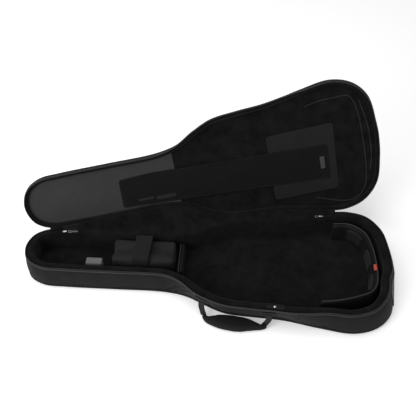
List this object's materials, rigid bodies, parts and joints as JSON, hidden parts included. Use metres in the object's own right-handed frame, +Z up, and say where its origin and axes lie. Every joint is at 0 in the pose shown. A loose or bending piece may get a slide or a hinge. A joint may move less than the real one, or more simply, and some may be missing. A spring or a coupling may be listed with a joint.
{
  "type": "padded gig bag",
  "caption": "Padded gig bag for an electric guitar, lying open: foam-walled base, hinged shallow lid, neck rest with strap, tail bumper, carry handle and zip sliders.",
  "frame": {"origin": "on the floor under the back panel's flat underside, on the bag's long axis, 565 mm from the tip of the head", "axes": "+X from the head to the tail, +Y towards the hinge side, +Z up from the floor"},
  "size_m": [1.0958, 0.5967, 0.453],
  "materials": {
    "shell_fabric": "woven nylon, matt",
    "plush_lining": "short pile plush",
    "smooth_fabric": "smooth coated fabric",
    "pad_cover": "smooth knit over foam",
    "light_pad": "smooth knit",
    "strap_fabric": "hook-and-loop strap",
    "piping": "satin",
    "zip_tape": "zip tape with coil",
    "string_guard": "smooth nylon",
    "hook_tape": "hook tape",
    "label": "woven, blank",
    "webbing": "woven webbing",
    "metal": "nickel",
    "pull_tape": "cord and tape pull",
    "red_fabric": "woven tag"
  },
  "bodies": {
    "base": {"back_panel": "shell_fabric", "base_wall_handle_side_head": "shell_fabric", "base_wall_handle_side_waist": "shell_fabric", "base_wall_handle_side_bout": "shell_fabric", "base_wall_hinge_side_head": "shell_fabric", "base_wall_hinge_side_waist": "shell_fabric", "base_wall_hinge_side_bout": "shell_fabric", "floor_lining": "plush_lining", "wall_lining": "plush_lining", "rim_piping": "piping", "base_zip_tape": "zip_tape", "hinge_gusset": "plush_lining", "tail_skid": "smooth_fabric", "neck_block": "pad_cover", "strap_anchor": "strap_fabric", "headstock_pad": "light_pad", "neck_divider": "smooth_fabric", "tail_bumper": "smooth_fabric", "bumper_piping": "piping", "tail_pad_hinge_side": "pad_cover", "tail_pad_handle_side": "pad_cover", "corner_strip": "smooth_fabric", "red_tag": "red_fabric", "handle_backing_patch": "smooth_fabric", "backing_rivet": "metal", "handle_anchor_head": "shell_fabric", "handle_anchor_tail": "shell_fabric"},
    "lid": {"lid_panel": "shell_fabric", "lid_gusset": "shell_fabric", "lid_lining": "plush_lining", "lid_piping": "piping", "lid_zip_tape": "zip_tape", "scuff_panel": "smooth_fabric", "bridge_guard": "smooth_fabric", "string_guard": "string_guard", "blank_label": "label", "guard_hook_strip_head": "hook_tape", "guard_hook_strip_tail": "hook_tape", "lid_pocket": "shell_fabric", "pocket_zip_tape": "zip_tape"},
    "neck_strap": {"neck_strap": "strap_fabric"},
    "carry_handle": {"handle_strap_head": "webbing", "handle_strap_tail": "webbing", "handle_grip": "shell_fabric"},
    "zip_head_slider": {"zip_head_slider": "metal"},
    "zip_head_pull": {"zip_head_pull": "pull_tape"},
    "zip_tail_slider": {"zip_tail_slider": "metal"},
    "zip_tail_pull": {"zip_tail_pull": "pull_tape"},
    "pocket_slider": {"pocket_slider": "metal"},
    "pocket_pull": {"pocket_pull": "pull_tape"}
  },
  "joints": [
    {"name": "lid_hinge", "type": "hinge", "parent": "base", "child": "lid", "pos_m": [0, 0.1492, 0.0842], "axis": [-0.9896, -0.1439, 0], "range_deg": [-112.7, 51], "deforming": ["hinge_gusset"]},
    {"name": "neck_strap_hinge", "type": "hinge", "parent": "base", "child": "neck_strap", "pos_m": [-0.219, 0.0599, 0.08], "axis": [-1, 0, 0], "range_deg": [0, 65]},
    {"name": "handle_hinge", "type": "hinge", "parent": "base", "child": "carry_handle", "pos_m": [0.0549, -0.16991, 0.05], "axis": [-0.9835, 0.181, 0], "range_deg": [0, 100]},
    {"name": "zip_head_slide", "type": "slide", "parent": "base", "child": "zip_head_slider", "axis": [-0.997, -0.0769, 0], "range_m": [0, 0.028]},
    {"name": "zip_head_pull_hinge", "type": "hinge", "parent": "zip_head_slider", "child": "zip_head_pull", "pos_m": [-0.4527, 0.07024, 0.08005], "axis": [0.0769, -0.997, 0], "range_deg": [0, 90]},
    {"name": "zip_tail_slide", "type": "slide", "parent": "base", "child": "zip_tail_slider", "axis": [0.9856, 0.1692, 0], "range_m": [0, 0.028]},
    {"name": "zip_tail_pull_hinge", "type": "hinge", "parent": "zip_tail_slider", "child": "zip_tail_pull", "pos_m": [0.29602, 0.17693, 0.08005], "axis": [-0.1692, 0.9856, 0], "range_deg": [0, 90]},
    {"name": "pocket_slide", "type": "slide", "parent": "lid", "child": "pocket_slider", "axis": [-0.1973, 0.3572, 0.9129], "range_m": [0, 0.145]},
    {"name": "pocket_pull_hinge", "type": "hinge", "parent": "pocket_slider", "child": "pocket_pull", "pos_m": [0.09487, 0.23724, 0.14803], "axis": [0.9713, 0.1973, 0.1327], "range_deg": [0, 90]}
  ]
}
